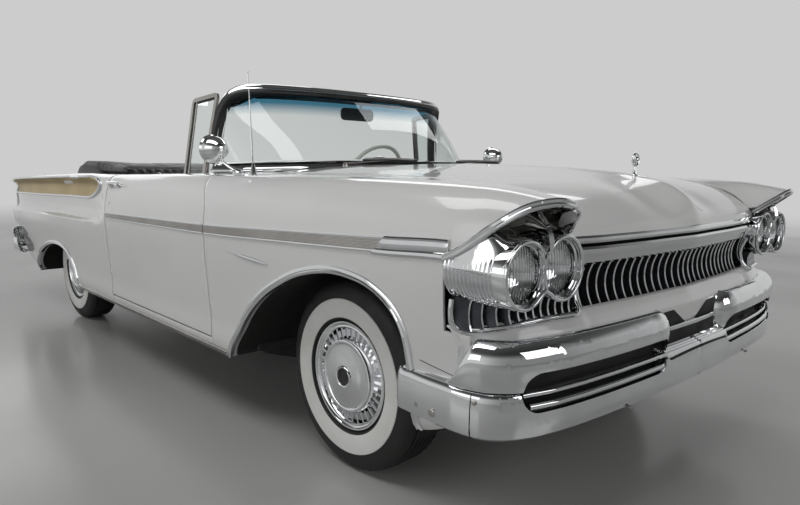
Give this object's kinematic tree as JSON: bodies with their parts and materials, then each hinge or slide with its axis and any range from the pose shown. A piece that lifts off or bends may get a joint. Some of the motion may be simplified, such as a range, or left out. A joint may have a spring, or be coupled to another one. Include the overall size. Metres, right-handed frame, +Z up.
{
  "type": "full-size 1950s two-door convertible car",
  "caption": "Open full-size late-1950s convertible car with paired headlamps, wrapped windshield, folded soft top and chrome bumpers; its doors, lids, steering and wheels move.",
  "frame": {"origin": "on the ground under the middle of the car's bounding box", "axes": "+X forward, +Y to the car's left, +Z up"},
  "size_m": [5.362, 2.008, 1.475],
  "materials": {
    "body_paint": "gloss white enamel",
    "chrome": "polished",
    "window_glass": "clear, faint green",
    "lamp_glass": "clear fluted",
    "underbody": "satin black",
    "frame_black": "semi-gloss black",
    "interior_dark": "satin",
    "wheel_plastic": "gloss",
    "seat_vinyl": "satin pleated",
    "top_fabric": "matte",
    "tail_lens": "gloss red",
    "brushed_arm": "brushed",
    "engine_iron": "matte",
    "exhaust_steel": "dull",
    "tyre_rubber": "matte black with white band"
  },
  "bodies": {
    "body_shell": {"front_fender_right": "body_paint", "front_fender_left": "body_paint", "cowl": "body_paint", "rear_quarter_right": "body_paint", "rear_quarter_left": "body_paint", "tail_panel": "body_paint", "rear_bulkhead": "body_paint", "floor_pan": "underbody", "chassis_frame": "frame_black", "windshield_frame": "chrome", "windshield_glass": "window_glass", "dashboard": "interior_dark", "steering_column": "interior_dark", "front_seat": "seat_vinyl", "rear_seat": "seat_vinyl", "folded_top": "top_fabric", "grille": "chrome", "radiator": "frame_black", "headlamp_pods": "chrome", "headlamp_lenses": "lamp_glass", "front_bumper": "chrome", "rear_bumper": "chrome", "tail_lamps": "tail_lens", "fender_mirrors": "chrome", "antenna": "chrome", "wipers": "brushed_arm", "front_suspension": "frame_black", "rear_axle": "frame_black", "engine_and_driveshaft": "engine_iron", "exhaust": "exhaust_steel", "fuel_tank": "exhaust_steel"},
    "hood": {"hood": "body_paint"},
    "deck_lid": {"deck_lid": "body_paint"},
    "door_right": {"door_right": "body_paint", "vent_window_right": "window_glass"},
    "door_left": {"door_left": "body_paint", "vent_window_left": "window_glass"},
    "steering_wheel": {"steering_wheel": "wheel_plastic"},
    "knuckle_right": {"knuckle_right": "engine_iron"},
    "knuckle_left": {"knuckle_left": "engine_iron"},
    "front_wheel_right": {"front_tyre_right": "tyre_rubber", "front_wheel_right": "chrome"},
    "front_wheel_left": {"front_tyre_left": "tyre_rubber", "front_wheel_left": "chrome"},
    "rear_wheel_right": {"rear_tyre_right": "tyre_rubber", "rear_wheel_right": "chrome"},
    "rear_wheel_left": {"rear_tyre_left": "tyre_rubber", "rear_wheel_left": "chrome"}
  },
  "joints": [
    {"name": "steering_wheel_turn", "type": "hinge", "parent": "body_shell", "child": "steering_wheel", "pos_m": [0.485, 0.38, 1.03], "axis": [-0.8829, 0, 0.4695], "range_deg": [-600, 600]},
    {"name": "steer_right", "type": "hinge", "parent": "body_shell", "child": "knuckle_right", "pos_m": [1.786, -0.6845, 0.35], "axis": [0, 0, 1], "range_deg": [-30, 30]},
    {"name": "front_wheel_spin_right", "type": "hinge", "parent": "knuckle_right", "child": "front_wheel_right", "pos_m": [1.786, -0.7545, 0.35], "axis": [0, 1, 0], "continuous": true},
    {"name": "rear_wheel_spin_right", "type": "hinge", "parent": "body_shell", "child": "rear_wheel_right", "pos_m": [-1.313, -0.7495, 0.35], "axis": [0, 1, 0], "continuous": true},
    {"name": "door_hinge_right", "type": "hinge", "parent": "body_shell", "child": "door_right", "pos_m": [1.01, -1.007, 0.7], "axis": [0, 0, 1], "range_deg": [0, 65]},
    {"name": "steer_left", "type": "hinge", "parent": "body_shell", "child": "knuckle_left", "pos_m": [1.786, 0.6845, 0.35], "axis": [0, 0, 1], "range_deg": [-30, 30]},
    {"name": "front_wheel_spin_left", "type": "hinge", "parent": "knuckle_left", "child": "front_wheel_left", "pos_m": [1.786, 0.7545, 0.35], "axis": [0, 1, 0], "continuous": true},
    {"name": "rear_wheel_spin_left", "type": "hinge", "parent": "body_shell", "child": "rear_wheel_left", "pos_m": [-1.313, 0.7495, 0.35], "axis": [0, 1, 0], "continuous": true},
    {"name": "door_hinge_left", "type": "hinge", "parent": "body_shell", "child": "door_left", "pos_m": [1.01, 1.007, 0.7], "axis": [0, 0, -1], "range_deg": [0, 65]},
    {"name": "hood_hinge", "type": "hinge", "parent": "body_shell", "child": "hood", "pos_m": [1.1803, 0, 1.098], "axis": [0, -1, 0], "range_deg": [0, 50]},
    {"name": "deck_lid_hinge", "type": "hinge", "parent": "body_shell", "child": "deck_lid", "pos_m": [-1.7433, 0, 1.02], "axis": [0, 1, 0], "range_deg": [0, 60]}
  ],
  "couplings": [
    {"joint": "steer_right", "follows": "steering_wheel_turn", "ratio": 0.05},
    {"joint": "steer_left", "follows": "steering_wheel_turn", "ratio": 0.05}
  ]
}
